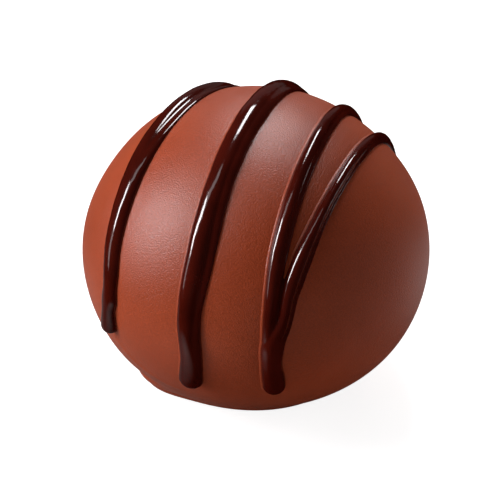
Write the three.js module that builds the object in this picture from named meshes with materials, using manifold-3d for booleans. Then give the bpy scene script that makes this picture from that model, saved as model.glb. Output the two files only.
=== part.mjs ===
// Chocolate ball: a round milk chocolate that stands on a small flat base,
// with four threads of dark chocolate drizzled over the top.
//
// Millimetres, +Z up. The origin is on the surface that the ball stands on,
// under the ball's middle. The front is at -Y and the threads run along Y.
// Places over the top are given in degrees: 0 at the crown, 90 level with the
// ball's middle at the front, and -90 level with it at the back.

import * as THREE from 'three';
import { mergeVertices } from 'three/addons/utils/BufferGeometryUtils.js';
import Module from 'manifold-3d';

// Driving dimensions of the ball
const ballRadius = 15;        // half of the width
const crownRise = 13.5;       // from the middle up to the crown
const middleHeight = 11.8;    // from the base up to the middle
const baseRadius = 7.8;       // flat spot underneath
const footHeight = 1;         // where the rounded edge of the base begins
const footReach = 3.2;        // the foot's flare has died out at this height

// How finely the shapes are faceted
const ballSegments = 56;
const ballRings = 22;
const footRings = 4;
const threadSides = 10;
const threadSteps = 46;
const threadEndSteps = 4;
const finestDetail = 0.01;

// Soft swellings and hollows of the hand-made ball: middle of each, how far it
// spreads and how much it stands out (or in), all from the ball's middle.
const swellings = [
	{ at: [ 13.3, - 2.3, - 5.9 ], spread: 4, rise: 0.14 },
	{ at: [ - 6.5, - 11.3, - 6.4 ], spread: 3.5, rise: 0.17 },
	{ at: [ - 12.9, - 1.7, 6.8 ], spread: 3.5, rise: - 0.2 },
	{ at: [ 7, 8.5, 9 ], spread: 4, rise: - 0.22 },
	{ at: [ 2, 14.5, - 3 ], spread: 5, rise: 0.18 },
	{ at: [ - 10, 10.5, - 2 ], spread: 4, rise: - 0.15 },
	{ at: [ 3.6, - 8.5, - 10.7 ], spread: 3.5, rise: - 0.13 },
];

// Where the coating has run out into a foot round the base: direction from the
// front towards the left in degrees, how wide it spreads, and how far it runs.
const footLobes = [
	{ direction: 37, spread: 11, run: 0.66 },
	{ direction: 49, spread: 23, run: 1.23 },
	{ direction: 176, spread: 26, run: 0.6 },
	{ direction: 262, spread: 16, run: 0.8 },
];

// The threads, from the back end over the top to the front end. Each list goes
// [degrees over the top, value]: the place to the side of the middle, and the
// width and height of the bead that stands on the ball.
const threads = [
	{
		side: [ [ - 88, - 6.3 ], [ - 60, - 6 ], [ - 30, - 6.2 ], [ 0, - 6.95 ], [ 28, - 7.45 ],
			[ 60, - 7.45 ], [ 76, - 7.15 ], [ 90, - 7.28 ], [ 101, - 7.45 ] ],
		width: [ [ - 88, 2.3 ], [ - 76, 1.9 ], [ - 40, 2.4 ], [ 0, 2.4 ], [ 30, 2.3 ], [ 60, 1.9 ],
			[ 71, 1.8 ], [ 78, 1.55 ], [ 84, 1.75 ], [ 89, 1.45 ], [ 96, 1.7 ], [ 101, 1.65 ] ],
		height: [ [ - 88, 0.85 ], [ - 76, 0.65 ], [ 0, 0.8 ], [ 78, 0.65 ], [ 101, 0.85 ] ],
	},
	{
		side: [ [ - 98, - 0.3 ], [ - 70, - 0.55 ], [ - 35, - 0.4 ], [ 0, 0.05 ], [ 30, 0.38 ],
			[ 58, 0.72 ], [ 78, 0.62 ], [ 94, 0.85 ], [ 108.8, 0.42 ] ],
		width: [ [ - 98, 2.3 ], [ - 86, 1.9 ], [ - 40, 2.2 ], [ 0, 2.4 ], [ 28, 2.2 ], [ 52, 2.35 ],
			[ 74, 2.05 ], [ 92, 1.9 ], [ 104, 2.05 ], [ 108.8, 2.05 ] ],
		height: [ [ - 98, 0.85 ], [ - 86, 0.65 ], [ 0, 0.8 ], [ 92, 0.7 ], [ 108.8, 0.85 ] ],
	},
	{
		side: [ [ - 92, 5.2 ], [ - 60, 4.9 ], [ - 30, 5.13 ], [ 0, 5.7 ], [ 30, 6.12 ],
			[ 60, 6.5 ], [ 78, 6.72 ], [ 90, 6.88 ] ],
		width: [ [ - 92, 1.9 ], [ - 82, 1.3 ], [ 0, 1.45 ], [ 50, 1.45 ], [ 68, 1.15 ], [ 90, 1.2 ] ],
		height: [ [ - 92, 0.7 ], [ - 82, 0.55 ], [ 0, 0.7 ], [ 68, 0.65 ], [ 90, 0.5 ] ],
	},
	{
		side: [ [ - 82, 8.3 ], [ - 50, 8.45 ], [ - 20, 8.7 ], [ 10, 8.66 ], [ 40, 8.25 ], [ 64, 7.78 ],
			[ 75, 7.65 ], [ 84, 7.12 ], [ 94, 7 ], [ 104, 7.05 ], [ 110.4, 6.95 ] ],
		width: [ [ - 82, 1.9 ], [ - 72, 1.2 ], [ 0, 1.2 ], [ 30, 1.25 ], [ 55, 1.6 ], [ 73, 1.4 ],
			[ 84, 1.9 ], [ 93, 1.72 ], [ 104, 1.9 ], [ 110.4, 1.9 ] ],
		height: [ [ - 82, 0.7 ], [ - 72, 0.55 ], [ 0, 0.7 ], [ 55, 0.75 ], [ 93, 0.75 ], [ 110.4, 0.85 ] ],
	},
];

const milkChocolate = new THREE.MeshStandardMaterial( {
	name: 'milk_chocolate',
	color: new THREE.Color( 0.33, 0.085, 0.035 ),
	roughness: 0.42,
	metalness: 0,
} );

// Joins and cuts
const wasm = await Module();
wasm.setup();

function toSolid( geometry ) {

	geometry.deleteAttribute( 'normal' );
	geometry.deleteAttribute( 'uv' );
	const merged = mergeVertices( geometry, 1e-5 );
	return new wasm.Manifold( new wasm.Mesh( {
		numProp: 3,
		vertProperties: new Float32Array( merged.attributes.position.array ),
		triVerts: new Uint32Array( merged.index.array ),
	} ) );

}

function toGeometry( solid ) {

	const mesh = solid.getMesh();
	const geometry = new THREE.BufferGeometry();
	geometry.setAttribute( 'position', new THREE.BufferAttribute( mesh.vertProperties, 3 ) );
	geometry.setIndex( new THREE.BufferAttribute( mesh.triVerts, 1 ) );
	geometry.computeVertexNormals();
	return geometry;

}

// Moves every vertex of a geometry by a function of its place.
function reshape( geometry, place ) {

	const position = geometry.attributes.position;
	const point = new THREE.Vector3();
	for ( let i = 0; i < position.count; i ++ ) {

		place( point.fromBufferAttribute( position, i ) );
		position.setXYZ( i, point.x, point.y, point.z );

	}

}

// The ball's surface

// Direction straight out of the smooth ball at a point given from its middle.
function outward( point ) {

	return new THREE.Vector3(
		point.x / ballRadius ** 2,
		point.y / ballRadius ** 2,
		point.z / crownRise ** 2,
	).normalize();

}

// How far the surface stands out from the smooth ball at a point.
function unevenness( point ) {

	return swellings.reduce( ( sum, { at, spread, rise } ) => {

		const away = point.distanceToSquared( new THREE.Vector3( ...at ) );
		return sum + rise * Math.exp( - away / ( 2 * spread ** 2 ) );

	}, 0 );

}

// How far the foot flares out near the base at a point.
function flare( point ) {

	const direction = THREE.MathUtils.radToDeg( Math.atan2( - point.x, - point.y ) );
	const height = point.z + middleHeight;
	const run = footLobes.reduce( ( sum, lobe ) => {

		const turned = THREE.MathUtils.euclideanModulo( direction - lobe.direction + 180, 360 ) - 180;
		return sum + lobe.run * Math.exp( - ( turned ** 2 ) / ( 2 * lobe.spread ** 2 ) );

	}, 0 );
	return run * ( 1 - THREE.MathUtils.smoothstep( height, footHeight, footReach ) );

}

// Takes a point of the smooth ball to the real, uneven surface, and leaves the
// underside flat.
function settle( point ) {

	const across = Math.hypot( point.x, point.y );
	if ( across < baseRadius - 1e-3 && point.z < 0 ) {

		return point.setZ( - middleHeight );

	}

	const push = outward( point ).multiplyScalar( unevenness( point ) );
	const run = flare( point );
	if ( across > 0 ) {

		push.x += run * point.x / across;
		push.y += run * point.y / across;

	}

	const base = point.z <= - middleHeight;
	point.add( push );
	if ( base ) point.z = - middleHeight;
	return point;

}

// Outline of the ball from its crown down to the middle of the flat base.
function ballOutline() {

	const edgeAngle = Math.acos( ( footHeight - middleHeight ) / crownRise );
	const edge = new THREE.Vector2( ballRadius * Math.sin( edgeAngle ), footHeight - middleHeight );
	const outline = [];
	for ( let i = 0; i < ballRings; i ++ ) {

		const angle = edgeAngle * i / ballRings;
		outline.push( new THREE.Vector2( ballRadius * Math.sin( angle ), crownRise * Math.cos( angle ) ) );

	}

	// rounded edge between the side and the flat base
	for ( let i = 0; i <= footRings; i ++ ) {

		const turn = Math.PI / 2 * i / footRings;
		outline.push( new THREE.Vector2(
			baseRadius + ( edge.x - baseRadius ) * Math.cos( turn ),
			- middleHeight + footHeight * ( 1 - Math.sin( turn ) ),
		) );

	}

	outline.push( new THREE.Vector2( 0, - middleHeight ) );
	return outline.reverse();

}

function ball() {

	const geometry = new THREE.LatheGeometry( ballOutline(), ballSegments );
	geometry.rotateX( Math.PI / 2 );
	reshape( geometry, settle );
	return geometry;

}

// The threads

// A smooth curve through a list of [degrees over the top, value].
function along( list ) {

	const degrees = new Float32Array( list.map( ( entry ) => entry[ 0 ] ) );
	const values = new Float32Array( list.map( ( entry ) => entry[ 1 ] ) );
	const curve = new THREE.CubicInterpolant( degrees, values, 1 );
	return ( at ) => curve.evaluate( THREE.MathUtils.clamp( at, degrees[ 0 ], degrees.at( - 1 ) ) )[ 0 ];

}

// Point of the ball's surface under a thread, from the ball's middle.
function surfaceUnder( degrees, side ) {

	const angle = THREE.MathUtils.degToRad( degrees );
	const narrowing = Math.sqrt( 1 - ( side / ballRadius ) ** 2 );
	return settle( new THREE.Vector3(
		side,
		- ballRadius * narrowing * Math.sin( angle ),
		crownRise * narrowing * Math.cos( angle ),
	) );

}

// A thread is a capsule laid over the ball: its length follows the path, and
// its round section is stretched to the bead's width and height. Its lower
// half is sunk in the ball.
function thread( { side, width, height } ) {

	const back = side[ 0 ][ 0 ];
	const front = side.at( - 1 )[ 0 ];
	const sideAt = along( side );
	const widthAt = along( width );
	const heightAt = along( height );
	const length = THREE.MathUtils.degToRad( front - back ) * ballRadius;
	const geometry = new THREE.CapsuleGeometry( 1, length - 2, threadEndSteps, threadSides, threadSteps );
	const step = 0.5;

	reshape( geometry, ( point ) => {

		const degrees = THREE.MathUtils.mapLinear( point.y, - length / 2, length / 2, back, front );
		const under = surfaceUnder( degrees, sideAt( degrees ) );
		const ahead = surfaceUnder( degrees + step, sideAt( degrees + step ) ).sub( under ).normalize();
		const up = outward( under );
		const across = new THREE.Vector3().crossVectors( ahead, up ).normalize();
		const sideways = point.x * widthAt( degrees ) / 2;
		const raised = point.z * heightAt( degrees );
		point.copy( under ).addScaledVector( across, sideways ).addScaledVector( up, raised );

	} );
	return geometry;

}

// The whole ball, one piece: the threads are set hard on the coating.
const whole = threads.reduce( ( solid, item ) => solid.add( toSolid( thread( item ) ) ), toSolid( ball() ) );
const chocolateBall = new THREE.Mesh( toGeometry( whole.simplify( finestDetail ) ), milkChocolate );
chocolateBall.name = 'chocolate_ball';
chocolateBall.position.z = middleHeight;

const part = new THREE.Group();
part.add( chocolateBall );

export default part;
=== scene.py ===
# A round milk chocolate that stands on a small flat base, with four threads of
# dark chocolate drizzled over the top.
#
# Sizes are in millimetres and are turned into metres as each mesh is made.
# The ball stands on z = 0. Its front is at -Y and the threads run along Y.
# Places over the top are in degrees: 0 at the crown, 90 level with the ball's
# middle at the front, -90 level with it at the back.

import math
from functools import lru_cache

import bmesh
import bpy
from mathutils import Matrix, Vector, noise


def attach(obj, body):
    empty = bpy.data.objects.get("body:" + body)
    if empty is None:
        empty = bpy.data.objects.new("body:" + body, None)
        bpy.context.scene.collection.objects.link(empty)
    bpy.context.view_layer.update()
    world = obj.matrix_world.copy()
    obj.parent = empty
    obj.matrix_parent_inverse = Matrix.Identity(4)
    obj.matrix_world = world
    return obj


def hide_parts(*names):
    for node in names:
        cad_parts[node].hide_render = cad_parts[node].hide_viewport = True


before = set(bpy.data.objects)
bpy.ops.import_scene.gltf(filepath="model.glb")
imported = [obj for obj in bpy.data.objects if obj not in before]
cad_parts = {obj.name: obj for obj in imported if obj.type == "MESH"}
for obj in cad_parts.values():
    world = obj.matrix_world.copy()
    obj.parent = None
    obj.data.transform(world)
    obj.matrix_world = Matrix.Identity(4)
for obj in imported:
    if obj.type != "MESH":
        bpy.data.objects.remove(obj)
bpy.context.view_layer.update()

MM = 0.001

# The ball, as the frame has it
BALL_RADIUS = 15.0
CROWN_RISE = 13.5
MIDDLE_HEIGHT = 11.8
BASE_RADIUS = 7.8
FOOT_HEIGHT = 1.0
FOOT_REACH = 3.2

# Swellings and hollows: middle of each from the ball's middle, spread, rise
SWELLINGS = [
    ((13.3, -2.3, -5.9), 4.0, 0.14),
    ((-6.5, -11.3, -6.4), 3.5, 0.17),
    ((-12.9, -1.7, 6.8), 3.5, -0.2),
    ((7.0, 8.5, 9.0), 4.0, -0.22),
    ((2.0, 14.5, -3.0), 5.0, 0.18),
    ((-10.0, 10.5, -2.0), 4.0, -0.15),
    ((3.6, -8.5, -10.7), 3.5, -0.13),
]

# The foot's lobes: direction from the front towards the left, spread, run
FOOT_LOBES = [(37, 11, 0.66), (49, 23, 1.23), (176, 26, 0.6), (262, 16, 0.8)]

# The threads, from the back end to the front end. Each list goes (degrees over
# the top, value): the place to the side of the ball's middle, the width and
# the height of the thread, and how much of a shelf it has along its right.
THREADS = {
    "thread_left": {
        "side": [(-88, -6.3), (-60, -6.0), (-30, -6.2), (0, -6.95), (28, -7.45),
                 (60, -7.45), (76, -7.15), (90, -7.28), (101, -7.45)],
        "width": [(-88, 2.3), (-76, 1.9), (-40, 2.4), (0, 2.4), (30, 2.3), (60, 1.9),
                  (71, 1.8), (78, 1.55), (84, 1.75), (89, 1.45), (96, 1.7), (101, 1.65)],
        "height": [(-88, 0.85), (-76, 0.65), (0, 0.8), (78, 0.65), (101, 0.85)],
        "shelf": [(-88, 0.5), (-10, 0.9), (10, 0.8), (35, 0), (101, 0)],
    },
    "thread_middle": {
        "side": [(-98, -0.3), (-70, -0.55), (-35, -0.4), (0, 0.05), (30, 0.38),
                 (58, 0.72), (78, 0.62), (94, 0.85), (108.8, 0.42)],
        "width": [(-98, 2.3), (-86, 1.9), (-40, 2.2), (0, 2.4), (28, 2.2), (52, 2.35),
                  (74, 2.05), (92, 1.9), (104, 2.05), (108.8, 2.05)],
        "height": [(-98, 0.85), (-86, 0.65), (0, 0.8), (92, 0.7), (108.8, 0.85)],
        "shelf": [(-98, 0.3), (-30, 0.5), (0, 0.35), (40, 0.5), (60, 1), (82, 0.5),
                  (96, 0), (108.8, 0)],
    },
    "thread_thin": {
        "side": [(-92, 5.2), (-60, 4.9), (-30, 5.13), (0, 5.7), (30, 6.12),
                 (60, 6.5), (78, 6.72), (90, 6.88)],
        "width": [(-92, 1.9), (-82, 1.3), (0, 1.45), (50, 1.45), (68, 1.15), (90, 1.2)],
        "height": [(-92, 0.7), (-82, 0.55), (0, 0.7), (68, 0.65), (90, 0.5)],
        "shelf": [(-92, 0.3), (20, 0.7), (50, 0.4), (90, 0)],
    },
    "thread_right": {
        "side": [(-82, 8.3), (-50, 8.45), (-20, 8.7), (10, 8.66), (40, 8.25), (64, 7.78),
                 (75, 7.65), (84, 7.12), (94, 7.0), (104, 7.05), (110.4, 6.95)],
        "width": [(-82, 1.9), (-72, 1.2), (0, 1.2), (30, 1.25), (55, 1.6), (73, 1.4),
                  (84, 1.9), (93, 1.72), (104, 1.9), (110.4, 1.9)],
        "height": [(-82, 0.7), (-72, 0.55), (0, 0.7), (55, 0.75), (93, 0.75), (110.4, 0.85)],
        "shelf": [(-82, 0.3), (20, 0.9), (70, 0.9), (90, 0.3), (100, 0), (110.4, 0)],
    },
}

# Threads that make one piece: the two on the right run into each other
JOINED_THREADS = [("thread_left",), ("thread_middle",), ("thread_thin", "thread_right")]

# A thread's section: a round ridge, and a low shelf along its right-hand edge
RIDGE_MIDDLE = 0.25
SHELF_MIDDLE = -0.45
SHELF_HEIGHT = 0.32
SHELF_BLEND = 0.05

# How much a thread swells and thins as it goes, slowly and quickly, and the
# degrees over the top that one slow or quick change takes
WAVE = 0.035
RIPPLE = 0.012
WAVE_LENGTH = 7.0
RIPPLE_LENGTH = 2.5

# The milk chocolate stands up in a low rim along each thread's left and round
# its end: what shows of it, what lies under the thread, and its height
RIM_WIDTH = 0.13
RIM_HIDDEN = 0.3
RIM_HEIGHT = 0.13

# The fold where the coating ran down to the foot
FOLD_START = (-7.3, -12.7, -2.8)
FOLD_END = (-0.7, -13.35, -6.2)
FOLD_SAG = (-0.5, -0.2, -0.6)
FOLD_HEIGHT = 0.1
FOLD_SPREAD = 0.28

# How finely the meshes are divided
SAME_POINT = 1e-5
REMESH_SIZE = 0.071
REMESH_SMOOTHING = 10
BALL_SEGMENTS = 384
BALL_RINGS = 250
DOME_RINGS = 222
EDGE_RINGS = 236
THREAD_SIDES = 64
THREAD_RINGS = 380
THREAD_END_RINGS = 20
RIM_SIDES = 32

# How fine the cocoa grain's smallest grains are, and the part of its range,
# from 0 to 1, over which it goes from dark to light
GRAIN_DETAIL = 2.0
GRAIN_LOW = 0.3
GRAIN_HIGH = 0.7

# The view: azimuth and elevation of the camera round the ball's middle, its
# distance in millimetres, its lens and where the ball's middle stands in the
# picture, in pixels.
CAMERA_AZIMUTH = 23.0
CAMERA_ELEVATION = 35.0
CAMERA_DISTANCE = 120.0
PICTURE_SIZE = 500
FOCAL_PIXELS = 1379.0
SENSOR_WIDTH = 36.0
BALL_IN_PICTURE = (255.8, 245.9)
NEAREST_SEEN = 0.005

# The light. Each lamp: direction in the picture (right, up, towards the
# camera), distance and sides in metres, power in watts, colour, and whether
# the glossy chocolate mirrors it.
LAMPS = {
    "left_softbox": ((-0.83, 0.41, 0.4), 0.3, (0.06, 0.17), 0.59, (1, 0.97, 1), True),
    "left_tail": ((-0.82, 0.36, 0.4), 0.3, (0.07, 0.75), 0.3, (1, 0.98, 1), True),
    "left_low": ((-0.95, -0.08, 0.15), 0.3, (0.2, 0.2), 0.8, (1, 1, 1), False),
    "upper_left": ((-0.465, 0.857, 0.22), 0.3, (0.2, 0.2), 0.05, (1, 1, 1), False),
    "top_softbox": ((0.07, 0.99, -0.04), 0.3, (0.06, 0.15), 0.43, (0.97, 0.97, 1), True),
    "back_top": ((0.1, 0.8, -0.5), 0.3, (0.2, 0.2), 0.45, (1, 1, 1), False),
    "back_card": ((0.05, 0.75, -0.65), 0.35, (0.3, 0.16), 0.01, (1, 1, 1), True),
    "right_fill": ((0.93, -0.05, 0.3), 0.3, (0.2, 0.2), 0.1, (1, 1, 1), False),
    "right_back": ((0.82, 0.38, -0.43), 0.3, (0.1, 0.06), 0.24, (1, 1, 1), False),
    "low_front": ((0.1, -0.55, 0.81), 0.3, (0.3, 0.04), 0.14, (1, 1, 1), False),
}
ROOM_LIGHT = 0.01

# The white sheet below: its half width in metres, how evenly and how brightly
# the camera sees it lit, and the colour of the light that it throws back
SHEET_REACH = 1.5
SHEET_WHITE_COLOR = (0.9, 0.9, 0.9)
SHEET_EVENNESS = 0.5
SHEET_WHITE = 1.75
SHEET_BOUNCE = (0.5, 0.4, 0.33)

# Bright places of the sheet: place and radius in millimetres, and strength. The
# chocolate mirrors the first ones, and the last one lights it from below.
BRIGHT_PLACES = [
    ((27.0, 22.0), 20.0, 0.6),
    ((66.0, 48.0), 20.0, 2.2),
    ((-25.0, -4.0), 28.0, 0.25),
    ((-7.0, -31.0), 14.0, 0.4),
]
BOUNCE_PLACE = ((32.0, 12.0), 26.0, 1.8)


# Shape of the ball

def outward(point):
    """Direction straight out of the smooth ball."""
    return Vector((
        point.x / BALL_RADIUS**2,
        point.y / BALL_RADIUS**2,
        point.z / CROWN_RISE**2,
    )).normalized()


def unevenness(point):
    """How far the surface stands out from the smooth ball."""
    rise = 0.0
    for at, spread, amount in SWELLINGS:
        away = (point - Vector(at)).length_squared
        rise += amount * math.exp(-away / (2 * spread**2))
    return rise


def fold(point):
    """Height of the low fold at the lower left."""
    start, end = Vector(FOLD_START), Vector(FOLD_END)
    share = min(max((point - start).dot(end - start) / (end - start).length_squared, 0.0), 1.0)
    sagging = math.sin(math.pi * share)
    nearest = start.lerp(end, share) + Vector(FOLD_SAG) * sagging
    away = (point - nearest).length
    return FOLD_HEIGHT * sagging**0.5 * math.exp(-(away**2) / (2 * FOLD_SPREAD**2))


def smoothstep(value, low, high):
    """Rises smoothly from 0 at low to 1 at high."""
    share = min(max((value - low) / (high - low), 0.0), 1.0)
    return share * share * (3 - 2 * share)


def flare(point):
    """How far the foot runs out near the base."""
    direction = math.degrees(math.atan2(-point.x, -point.y))
    run = 0.0
    for toward, spread, amount in FOOT_LOBES:
        turned = (direction - toward + 180) % 360 - 180
        run += amount * math.exp(-(turned**2) / (2 * spread**2))
    return run * (1 - smoothstep(point.z + MIDDLE_HEIGHT, FOOT_HEIGHT, FOOT_REACH))


def settle(point):
    """Takes a point of the smooth ball to the uneven surface; the underside stays flat."""
    across = math.hypot(point.x, point.y)
    if across < BASE_RADIUS - 1e-3 and point.z < 0:
        return Vector((point.x, point.y, -MIDDLE_HEIGHT))
    moved = point + outward(point) * unevenness(point)
    run = flare(point)
    if across > 0:
        moved.x += run * point.x / across
        moved.y += run * point.y / across
    if point.z <= -MIDDLE_HEIGHT:
        moved.z = -MIDDLE_HEIGHT
    return moved


def ball_outline(ring):
    """Distance from the axis and height of a ring of the ball, from the crown down."""
    edge_angle = math.acos((FOOT_HEIGHT - MIDDLE_HEIGHT) / CROWN_RISE)
    edge = BALL_RADIUS * math.sin(edge_angle)
    if ring <= DOME_RINGS:
        angle = edge_angle * ring / DOME_RINGS
        return BALL_RADIUS * math.sin(angle), CROWN_RISE * math.cos(angle)
    if ring <= EDGE_RINGS:
        turn = math.pi / 2 * (ring - DOME_RINGS) / (EDGE_RINGS - DOME_RINGS)
        across = BASE_RADIUS + (edge - BASE_RADIUS) * math.cos(turn)
        return across, -MIDDLE_HEIGHT + FOOT_HEIGHT * (1 - math.sin(turn))
    share = (BALL_RINGS - ring) / (BALL_RINGS - EDGE_RINGS)
    return BASE_RADIUS * share, -MIDDLE_HEIGHT


# Shape of a thread

def along(stations, at):
    """Smooth curve through (degrees, value) stations."""
    count = len(stations)
    at = min(max(at, stations[0][0]), stations[-1][0])
    index = 0
    while index < count - 2 and at > stations[index + 1][0]:
        index += 1
    (start, low), (end, high) = stations[index], stations[index + 1]

    def slope(station):
        before = stations[max(station - 1, 0)]
        after = stations[min(station + 1, count - 1)]
        return (after[1] - before[1]) / (after[0] - before[0])

    span = end - start
    t = (at - start) / span
    tangents = slope(index) * span, slope(index + 1) * span
    return ((2 * t**3 - 3 * t**2 + 1) * low + (t**3 - 2 * t**2 + t) * tangents[0]
            + (3 * t**2 - 2 * t**3) * high + (t**3 - t**2) * tangents[1])


def surface_under(degrees, side):
    """Point of the ball's surface under a thread, from the ball's middle."""
    angle = math.radians(degrees)
    narrowing = math.sqrt(1 - (side / BALL_RADIUS) ** 2)
    return settle(Vector((
        side,
        -BALL_RADIUS * narrowing * math.sin(angle),
        CROWN_RISE * narrowing * math.cos(angle),
    )))


def thread_ring(ring, length):
    """Place along the thread and size of a ring: round ends, straight between."""
    straight = length / 2 - 1
    if ring < THREAD_END_RINGS:
        turn = math.pi / 2 * ring / THREAD_END_RINGS
        return straight + math.cos(turn), math.sin(turn)
    if ring > THREAD_RINGS - THREAD_END_RINGS:
        turn = math.pi / 2 * (THREAD_RINGS - ring) / THREAD_END_RINGS
        return -straight - math.cos(turn), math.sin(turn)
    share = (ring - THREAD_END_RINGS) / (THREAD_RINGS - 2 * THREAD_END_RINGS)
    return straight * (1 - 2 * share), 1.0


@lru_cache(maxsize=None)
def thread_frame(name, ring, margin):
    """Where a ring lies on the ball, its directions, and its size and waviness."""
    side = THREADS[name]["side"]
    back, front = side[0][0], side[-1][0]
    length = math.radians(front - back) * BALL_RADIUS
    place, size = thread_ring(ring, length)
    place *= 1 + 2 * margin / length
    degrees = back + (front - back) * (place + length / 2) / length
    step = 0.5
    under = surface_under(degrees, along(side, degrees))
    ahead = surface_under(degrees + step, along(side, degrees + step)) - under
    up = outward(under)
    across = ahead.normalized().cross(up).normalized()
    wave = noise.noise(Vector((degrees / WAVE_LENGTH, side[0][1], 0)))
    ripple = noise.noise(Vector((degrees / RIPPLE_LENGTH, side[0][1], 5)))
    return under, across, up, degrees, size, 1 + WAVE * wave + RIPPLE * ripple


def section(turn):
    """Height of a shelved section, from 0 at its edges to 1 on the ridge."""
    if math.sin(turn) <= 0:
        return math.sin(turn)
    side = math.cos(turn)
    ridge = 1 - ((side - RIDGE_MIDDLE) / (1 - RIDGE_MIDDLE)) ** 2
    shelf = 1 - ((side - SHELF_MIDDLE) / (1 + SHELF_MIDDLE)) ** 2
    ridge = math.sqrt(max(ridge, 0.0))
    shelf = SHELF_HEIGHT * math.sqrt(max(shelf, 0.0))
    gap = ridge - shelf
    return (ridge + shelf + math.sqrt(gap * gap + SHELF_BLEND**2) - SHELF_BLEND) / 2


def ring_and_turn(unit):
    """The ring of a unit ball's point, and its turn round the thread."""
    ring = round(math.acos(max(-1.0, min(1.0, unit.z))) / math.pi * THREAD_RINGS)
    turn = math.atan2(unit.y, unit.x) if ring not in (0, THREAD_RINGS) else 0.0
    return ring, turn


def thread_point(unit, name):
    """Takes a point of a unit ball to the thread laid over the chocolate."""
    ring, turn = ring_and_turn(unit)
    under, across, up, degrees, size, waviness = thread_frame(name, ring, 0.0)
    stations = THREADS[name]
    shelved = along(stations["shelf"], degrees)
    profile = math.sin(turn) * (1 - shelved) + section(turn) * shelved
    sideways = size * math.cos(turn) * along(stations["width"], degrees) * waviness / 2
    raised = size * profile * along(stations["height"], degrees) * waviness
    return under + across * sideways + up * raised


def rim_point(unit, name):
    """Takes a point of a unit ball to the rim that stands along the thread."""
    ring, turn = ring_and_turn(unit)
    under, across, up, degrees, size, waviness = thread_frame(name, ring, RIM_WIDTH)
    width = along(THREADS[name]["width"], degrees) * waviness + RIM_WIDTH - RIM_HIDDEN
    sideways = size * math.cos(turn) * width / 2 + (RIM_WIDTH + RIM_HIDDEN) / 2
    return under + across * sideways + up * size * math.sin(turn) * RIM_HEIGHT


# Finishes

def new_material(name):
    """A material, its node tree and its main shader."""
    material = bpy.data.materials.new(name)
    material.use_nodes = True
    tree = material.node_tree
    return material, tree, tree.nodes["Principled BSDF"]


def grain_group():
    """Fine grain and slow mottling, shared by both chocolates."""
    group = bpy.data.node_groups.new("cocoa_grain", "ShaderNodeTree")
    face = group.interface
    for name, value in (("Grain Scale", 4000.0), ("Mottle Scale", 150.0)):
        socket = face.new_socket(name, in_out="INPUT", socket_type="NodeSocketFloat")
        socket.default_value = value
    for name in ("Grain", "Mottle"):
        face.new_socket(name, in_out="OUTPUT", socket_type="NodeSocketFloat")
    nodes, links = group.nodes, group.links
    enter = nodes.new("NodeGroupInput")
    leave = nodes.new("NodeGroupOutput")
    place = nodes.new("ShaderNodeTexCoord")
    for scale, out in (("Grain Scale", "Grain"), ("Mottle Scale", "Mottle")):
        texture = nodes.new("ShaderNodeTexNoise")
        texture.inputs["Detail"].default_value = GRAIN_DETAIL
        links.new(place.outputs["Object"], texture.inputs["Vector"])
        links.new(enter.outputs[scale], texture.inputs["Scale"])
        links.new(texture.outputs["Fac"], leave.inputs[out])
    return group


GRAIN = grain_group()


def place_grain(tree, grain_scale, mottle_scale):
    """Puts the shared grain into a material, at the material's own scales."""
    node = tree.nodes.new("ShaderNodeGroup")
    node.node_tree = GRAIN
    node.inputs["Grain Scale"].default_value = grain_scale
    node.inputs["Mottle Scale"].default_value = mottle_scale
    return node


def blend_colors(tree, mask, dark, light):
    """A colour that goes from dark to light with a mask."""
    ramp = tree.nodes.new("ShaderNodeValToRGB")
    ramp.color_ramp.elements[0].position = GRAIN_LOW
    ramp.color_ramp.elements[1].position = GRAIN_HIGH
    ramp.color_ramp.elements[0].color = (*dark, 1)
    ramp.color_ramp.elements[1].color = (*light, 1)
    tree.links.new(mask, ramp.inputs["Fac"])
    return ramp.outputs["Color"]


def blend_values(tree, mask, low, high):
    """A value that goes from low to high with a mask."""
    span = tree.nodes.new("ShaderNodeMapRange")
    span.inputs["From Min"].default_value = GRAIN_LOW
    span.inputs["From Max"].default_value = GRAIN_HIGH
    span.inputs["To Min"].default_value = low
    span.inputs["To Max"].default_value = high
    tree.links.new(mask, span.inputs["Value"])
    return span.outputs["Result"]


def bump(tree, height, strength, depth):
    """A normal that follows a height; its depth is in millimetres."""
    node = tree.nodes.new("ShaderNodeBump")
    node.inputs["Strength"].default_value = strength
    node.inputs["Distance"].default_value = depth * MM
    tree.links.new(height, node.inputs["Height"])
    return node.outputs["Normal"]


def milk_chocolate():
    """Satin coating with a fine, slightly lighter and darker grain."""
    material, tree, shader = new_material("milk_chocolate")
    grain = place_grain(tree, 9000.0, 130.0)
    color = blend_colors(tree, grain.outputs["Mottle"], (0.285, 0.04, 0.0085), (0.325, 0.047, 0.0105))
    speckle = tree.nodes.new("ShaderNodeHueSaturation")
    tree.links.new(color, speckle.inputs["Color"])
    tree.links.new(blend_values(tree, grain.outputs["Grain"], 0.78, 1.22), speckle.inputs["Value"])
    tree.links.new(speckle.outputs["Color"], shader.inputs["Base Color"])
    tree.links.new(blend_values(tree, grain.outputs["Grain"], 0.34, 0.44), shader.inputs["Roughness"])
    tree.links.new(bump(tree, grain.outputs["Grain"], 1.0, 0.04), shader.inputs["Normal"])
    shader.inputs["Specular IOR Level"].default_value = 0.78
    shader.inputs["Sheen Weight"].default_value = 0.05
    shader.inputs["Sheen Roughness"].default_value = 0.5
    shader.inputs["Sheen Tint"].default_value = (1, 0.85, 0.8, 1)
    return material


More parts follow.
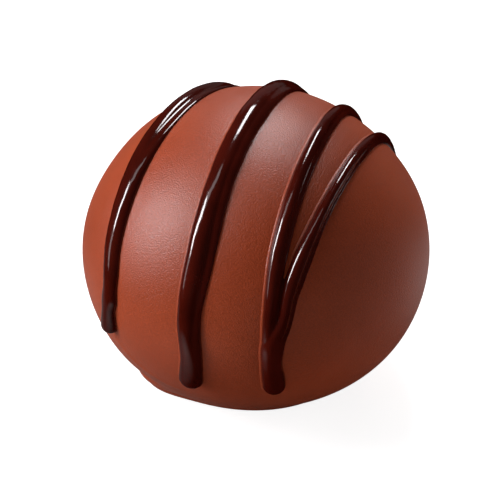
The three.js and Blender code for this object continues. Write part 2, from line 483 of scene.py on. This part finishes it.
def dark_chocolate():
    """Glossy threads, almost black where no light is mirrored."""
    material, tree, shader = new_material("dark_chocolate")
    grain = place_grain(tree, 900.0, 300.0)
    color = blend_colors(tree, grain.outputs["Mottle"], (0.037, 0.003, 0.0013), (0.061, 0.0049, 0.0021))
    tree.links.new(color, shader.inputs["Base Color"])
    tree.links.new(blend_values(tree, grain.outputs["Mottle"], 0.1, 0.13), shader.inputs["Roughness"])
    tree.links.new(bump(tree, grain.outputs["Grain"], 0.1, 0.03), shader.inputs["Normal"])
    shader.inputs["IOR"].default_value = 1.65
    return material


# Pieces

def place_piece(name, bm, material):
    """Turns a mesh in millimetres from the ball's middle into a piece of the ball."""
    bmesh.ops.remove_doubles(bm, verts=bm.verts, dist=SAME_POINT)
    bmesh.ops.translate(bm, verts=bm.verts, vec=(0, 0, MIDDLE_HEIGHT))
    bmesh.ops.scale(bm, verts=bm.verts, vec=(MM, MM, MM))
    bmesh.ops.recalc_face_normals(bm, faces=bm.faces)
    for face in bm.faces:
        face.smooth = True
    mesh = bpy.data.meshes.new(name)
    bm.to_mesh(mesh)
    bm.free()
    mesh.materials.append(material)
    piece = bpy.data.objects.new(name, mesh)
    bpy.context.scene.collection.objects.link(piece)
    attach(piece, "root")
    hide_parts("chocolate_ball")
    return piece


def make_ball(material):
    """The coating: a ball settled on its base, with its foot and its fold."""
    bm = bmesh.new()
    bmesh.ops.create_uvsphere(bm, u_segments=BALL_SEGMENTS, v_segments=BALL_RINGS, radius=1)
    for vert in bm.verts:
        ring = round(math.acos(max(-1.0, min(1.0, vert.co.z))) / math.pi * BALL_RINGS)
        across, height = ball_outline(ring)
        turn = math.atan2(vert.co.y, vert.co.x)
        point = settle(Vector((across * math.cos(turn), across * math.sin(turn), height)))
        vert.co = point + outward(point) * fold(point)
    return place_piece("coating", bm, material)


def add_thread(bm, name):
    """Adds one thread to a mesh."""
    made = bmesh.ops.create_uvsphere(bm, u_segments=THREAD_SIDES, v_segments=THREAD_RINGS, radius=1)
    for vert in made["verts"]:
        vert.co = thread_point(vert.co, name)


def run_together(bm):
    """Merges overlapping threads into one smooth skin, still in millimetres."""
    bmesh.ops.remove_doubles(bm, verts=bm.verts, dist=SAME_POINT)
    mesh = bpy.data.meshes.new("run_together")
    bm.to_mesh(mesh)
    bm.clear()
    shape = bpy.data.objects.new("run_together", mesh)
    bpy.context.scene.collection.objects.link(shape)
    remesh = shape.modifiers.new("skin", "REMESH")
    remesh.mode = "VOXEL"
    remesh.voxel_size = REMESH_SIZE
    smooth = shape.modifiers.new("smooth", "SMOOTH")
    smooth.factor = 0.5
    smooth.iterations = REMESH_SMOOTHING
    bm.from_object(shape, bpy.context.evaluated_depsgraph_get())
    bpy.data.objects.remove(shape)
    bpy.data.meshes.remove(mesh)


def make_threads(names, material):
    """One piece of dark chocolate, from one thread or from threads that join."""
    bm = bmesh.new()
    for name in names:
        add_thread(bm, name)
    if len(names) > 1:
        run_together(bm)
    return place_piece("_and_".join(names), bm, material)


def make_rim(name, material):
    """The low rim of milk chocolate that shows along a thread."""
    bm = bmesh.new()
    bmesh.ops.create_uvsphere(bm, u_segments=RIM_SIDES, v_segments=THREAD_RINGS, radius=1)
    for vert in bm.verts:
        vert.co = rim_point(vert.co, name)
    return place_piece(name + "_rim", bm, material)


milk = milk_chocolate()
dark = dark_chocolate()
make_ball(milk)
for run in JOINED_THREADS:
    make_threads(run, dark)
for thread_name in THREADS:
    make_rim(thread_name, milk)


# Sheet, camera and lights

def view_axes():
    """Right, up and back (towards the camera) of the picture."""
    azimuth = math.radians(CAMERA_AZIMUTH)
    elevation = math.radians(CAMERA_ELEVATION)
    back = Vector((
        math.sin(azimuth) * math.cos(elevation),
        -math.cos(azimuth) * math.cos(elevation),
        math.sin(elevation),
    ))
    right = Vector((math.cos(azimuth), math.sin(azimuth), 0))
    return right, back.cross(right), back


def aim(thing, target):
    """Turns a camera or lamp to look at a point."""
    thing.rotation_euler = (target - thing.location).to_track_quat("-Z", "Y").to_euler()


BALL_MIDDLE = Vector((0, 0, MIDDLE_HEIGHT * MM))
RIGHT, UP, BACK = view_axes()


def make_camera():
    """The camera, shifted so that the ball stands where the picture has it."""
    data = bpy.data.cameras.new("camera")
    data.sensor_width = SENSOR_WIDTH
    data.lens = SENSOR_WIDTH * FOCAL_PIXELS / PICTURE_SIZE
    data.clip_start = NEAREST_SEEN
    camera = bpy.data.objects.new("camera", data)
    bpy.context.scene.collection.objects.link(camera)
    distance = CAMERA_DISTANCE * MM
    offset_right = (PICTURE_SIZE / 2 - BALL_IN_PICTURE[0]) / FOCAL_PIXELS * distance
    offset_up = (BALL_IN_PICTURE[1] - PICTURE_SIZE / 2) / FOCAL_PIXELS * distance
    camera.location = BALL_MIDDLE + BACK * distance
    aim(camera, BALL_MIDDLE + RIGHT * offset_right + UP * offset_up)
    bpy.context.scene.camera = camera


def make_lamp(name, direction, distance, size, power, color, mirrored):
    """A rectangular lamp that shines on the ball from a direction."""
    data = bpy.data.lights.new(name, "AREA")
    data.shape = "RECTANGLE"
    data.size, data.size_y = size
    data.energy = power
    data.color = color
    lamp = bpy.data.objects.new(name, data)
    bpy.context.scene.collection.objects.link(lamp)
    across, rise, near = direction
    toward = (RIGHT * across + UP * rise + BACK * near).normalized()
    lamp.location = BALL_MIDDLE + toward * distance
    aim(lamp, BALL_MIDDLE)
    lamp.visible_glossy = mirrored


def bright_place(tree, at, radius, strength):
    """A round glow on the sheet that fades to its edge."""
    nodes, links = tree.nodes, tree.links
    coordinates = nodes.new("ShaderNodeTexCoord")
    mapping = nodes.new("ShaderNodeMapping")
    mapping.vector_type = "TEXTURE"
    mapping.inputs["Location"].default_value = (at[0] * MM, at[1] * MM, 0)
    mapping.inputs["Scale"].default_value = [radius * MM] * 3
    fade = nodes.new("ShaderNodeTexGradient")
    fade.gradient_type = "SPHERICAL"
    power = nodes.new("ShaderNodeMath")
    power.operation = "MULTIPLY"
    power.inputs[1].default_value = strength
    glow = nodes.new("ShaderNodeEmission")
    links.new(coordinates.outputs["Object"], mapping.inputs["Vector"])
    links.new(mapping.outputs["Vector"], fade.inputs["Vector"])
    links.new(fade.outputs["Fac"], power.inputs[0])
    links.new(power.outputs["Value"], glow.inputs["Strength"])
    return glow.outputs["Emission"]


def joined(tree, kind, first, second, share=None):
    """Adds or mixes two shaders."""
    node = tree.nodes.new(kind)
    sockets = node.inputs[-2:]
    tree.links.new(first, sockets[0])
    tree.links.new(second, sockets[1])
    if isinstance(share, float):
        node.inputs["Fac"].default_value = share
    elif share:
        tree.links.new(share, node.inputs["Fac"])
    return node.outputs["Shader"]


def diffuse(tree, color):
    """A matt shader of one colour."""
    node = tree.nodes.new("ShaderNodeBsdfDiffuse")
    node.inputs["Color"].default_value = (*color, 1)
    return node.outputs["BSDF"]


def make_sheet():
    """A white sheet. The camera sees it almost evenly lit; the ball gets a calmer bounce."""
    material = bpy.data.materials.new("white_sheet")
    material.use_nodes = True
    tree = material.node_tree
    tree.nodes.remove(tree.nodes["Principled BSDF"])
    # The glow reaches the ball only by rays that meet the sheet
    material.cycles.emission_sampling = "NONE"
    even = tree.nodes.new("ShaderNodeEmission")
    even.inputs["Strength"].default_value = SHEET_WHITE
    seen = joined(tree, "ShaderNodeMixShader", diffuse(tree, SHEET_WHITE_COLOR),
                  even.outputs["Emission"], SHEET_EVENNESS)
    bright = [bright_place(tree, *place) for place in BRIGHT_PLACES]
    mirrored = bright[0]
    for glow in bright[1:]:
        mirrored = joined(tree, "ShaderNodeAddShader", mirrored, glow)
    lit = joined(tree, "ShaderNodeAddShader", diffuse(tree, SHEET_BOUNCE),
                 bright_place(tree, *BOUNCE_PLACE))
    path = tree.nodes.new("ShaderNodeLightPath")
    sent = joined(tree, "ShaderNodeMixShader", lit, mirrored, path.outputs["Is Glossy Ray"])
    surface = joined(tree, "ShaderNodeMixShader", sent, seen, path.outputs["Is Camera Ray"])
    tree.links.new(surface, tree.nodes["Material Output"].inputs["Surface"])
    bm = bmesh.new()
    bmesh.ops.create_grid(bm, x_segments=1, y_segments=1, size=SHEET_REACH)
    mesh = bpy.data.meshes.new("sheet")
    bm.to_mesh(mesh)
    bm.free()
    mesh.materials.append(material)
    sheet = bpy.data.objects.new("sheet", mesh)
    bpy.context.scene.collection.objects.link(sheet)


def make_world():
    """White to the camera, and only a faint light to the ball."""
    world = bpy.data.worlds.new("studio")
    world.use_nodes = True
    tree = world.node_tree
    sky = tree.nodes["Background"]
    path = tree.nodes.new("ShaderNodeLightPath")
    strength = tree.nodes.new("ShaderNodeMapRange")
    strength.inputs["To Min"].default_value = ROOM_LIGHT
    strength.inputs["To Max"].default_value = 1.0
    tree.links.new(path.outputs["Is Camera Ray"], strength.inputs["Value"])
    tree.links.new(strength.outputs["Result"], sky.inputs["Strength"])
    sky.inputs["Color"].default_value = (1, 1, 1, 1)
    bpy.context.scene.world = world


make_camera()
make_sheet()
make_world()
for lamp_name, lamp in LAMPS.items():
    make_lamp(lamp_name, *lamp)
bpy.context.scene.view_settings.view_transform = "Standard"
